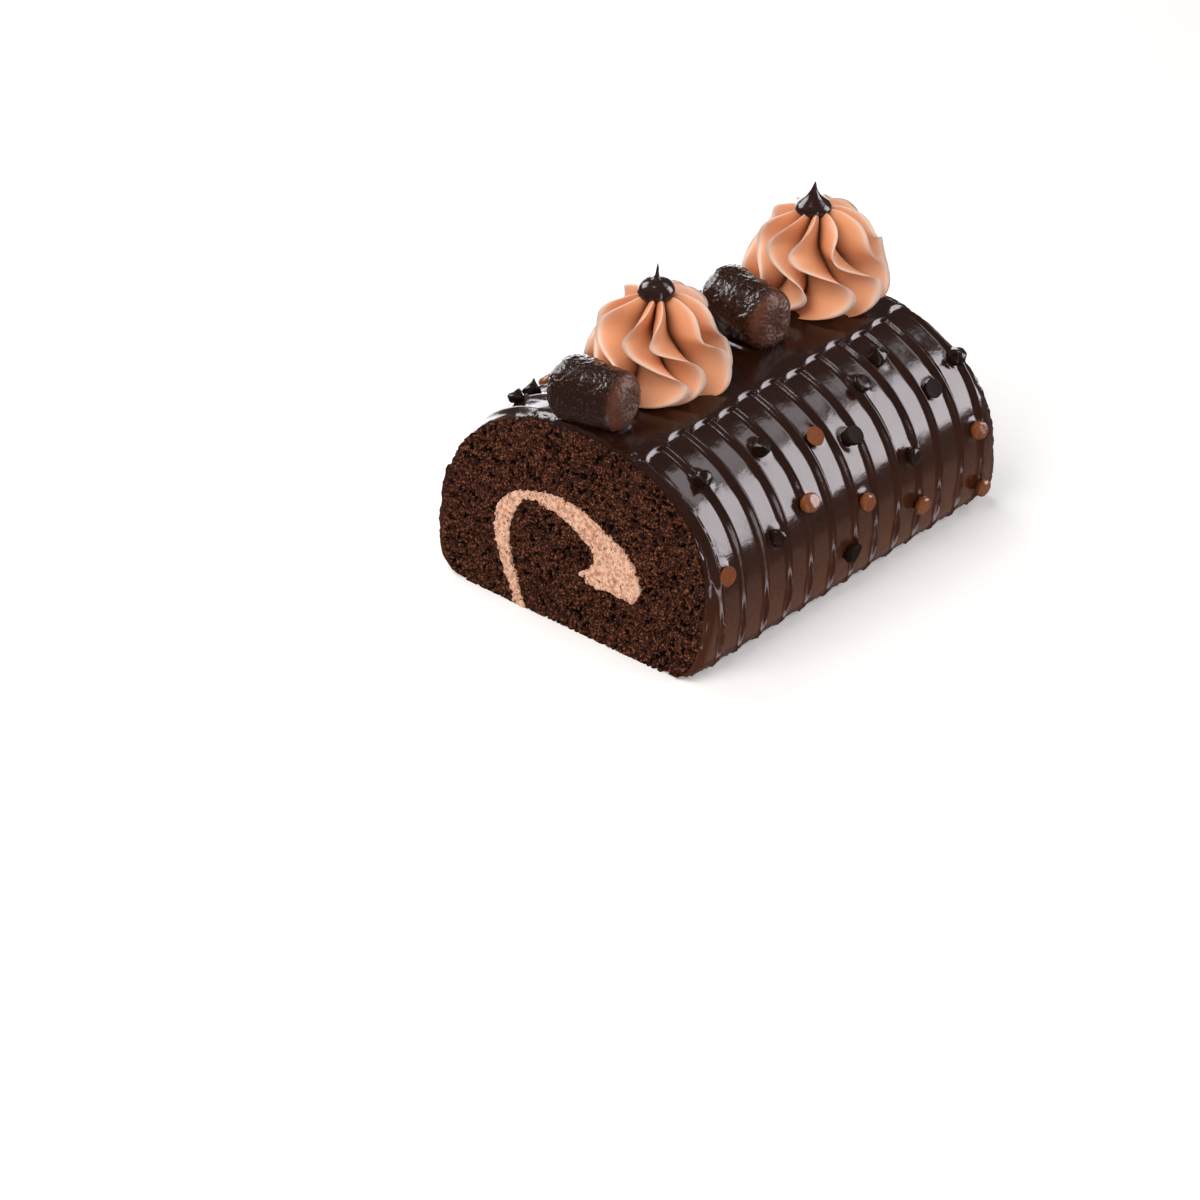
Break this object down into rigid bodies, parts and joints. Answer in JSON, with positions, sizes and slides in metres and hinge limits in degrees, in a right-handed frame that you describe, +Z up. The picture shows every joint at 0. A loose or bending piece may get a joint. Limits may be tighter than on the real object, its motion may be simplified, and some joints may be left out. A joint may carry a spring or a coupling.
{
  "type": "chocolate swiss roll cake",
  "caption": "Combed, ganache-coated chocolate roll with a cream spiral at both cut ends, topped with piped rosettes, coated marshmallows and chocolate chips.",
  "frame": {"origin": "middle of the flat base that the roll rests on", "axes": "+Z up, +Y along the roll from its front cut to its far cut, +X to the right seen from the front"},
  "size_m": [0.1246, 0.1628, 0.1148],
  "materials": {
    "sponge": "open, matt chocolate sponge crumb",
    "cream": "soft, matt chocolate cream",
    "ganache": "wet-looking dark chocolate ganache, combed",
    "buttercream": "smooth piped chocolate buttercream, satin",
    "couverture": "glossy poured dark chocolate",
    "coated_marshmallow": "pebbled cocoa-coated marshmallow, semi-gloss",
    "milk_chocolate": "milk chocolate chip, satin",
    "dark_chocolate": "dark chocolate chip, satin"
  },
  "bodies": {
    "root": {"sponge": "sponge", "cream_filling": "cream", "ganache_coat": "ganache", "rosette_front": "buttercream", "rosette_rear": "buttercream", "drop_front": "couverture", "drop_rear": "couverture", "marshmallow_front": "coated_marshmallow", "marshmallow_rear": "coated_marshmallow", "chip_01": "dark_chocolate", "chip_02": "dark_chocolate", "chip_03": "milk_chocolate", "chip_04": "dark_chocolate", "chip_05": "dark_chocolate", "chip_06": "dark_chocolate", "chip_07": "dark_chocolate", "chip_08": "dark_chocolate", "chip_09": "dark_chocolate", "chip_10": "milk_chocolate", "chip_11": "milk_chocolate", "chip_12": "milk_chocolate", "chip_13": "milk_chocolate", "chip_14": "milk_chocolate", "chip_15": "dark_chocolate", "chip_16": "dark_chocolate", "chip_17": "milk_chocolate", "chip_18": "dark_chocolate", "chip_19": "dark_chocolate", "chip_20": "milk_chocolate", "chip_21": "dark_chocolate", "chip_22": "dark_chocolate", "chip_23": "dark_chocolate", "chip_24": "dark_chocolate", "chip_25": "milk_chocolate", "chip_26": "dark_chocolate", "chip_27": "milk_chocolate", "chip_28": "dark_chocolate", "chip_29": "dark_chocolate", "chip_30": "milk_chocolate", "chip_31": "dark_chocolate", "chip_32": "dark_chocolate", "chip_33": "dark_chocolate", "chip_34": "milk_chocolate"}
  },
  "joints": []
}
